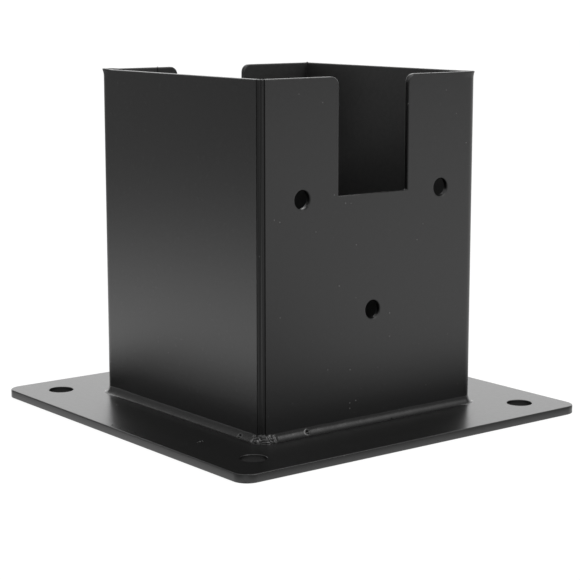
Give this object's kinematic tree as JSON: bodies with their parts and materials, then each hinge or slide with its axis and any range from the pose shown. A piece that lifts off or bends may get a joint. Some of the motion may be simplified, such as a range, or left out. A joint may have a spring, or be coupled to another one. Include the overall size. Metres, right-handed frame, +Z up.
{
  "type": "mailbox post bracket",
  "caption": "Square steel post sleeve with a notched front and back wall, welded on a square anchor plate. It stands a wooden mailbox post on a hard surface.",
  "frame": {"origin": "middle of the base plate's underside", "axes": "+Z up the post, -Y out of the notched front wall, X across it"},
  "size_m": [0.15, 0.15, 0.122],
  "materials": {
    "powder_coat": "satin black powder coat on sheet steel",
    "coated_weld": "semi-gloss black powder coat over weld metal"
  },
  "bodies": {
    "root": {"base_plate": "powder_coat", "sleeve_half_front": "powder_coat", "sleeve_half_back": "powder_coat", "seam_weld_front": "coated_weld", "seam_weld_back": "coated_weld", "foot_weld_front": "coated_weld", "foot_weld_back": "coated_weld"}
  },
  "joints": []
}
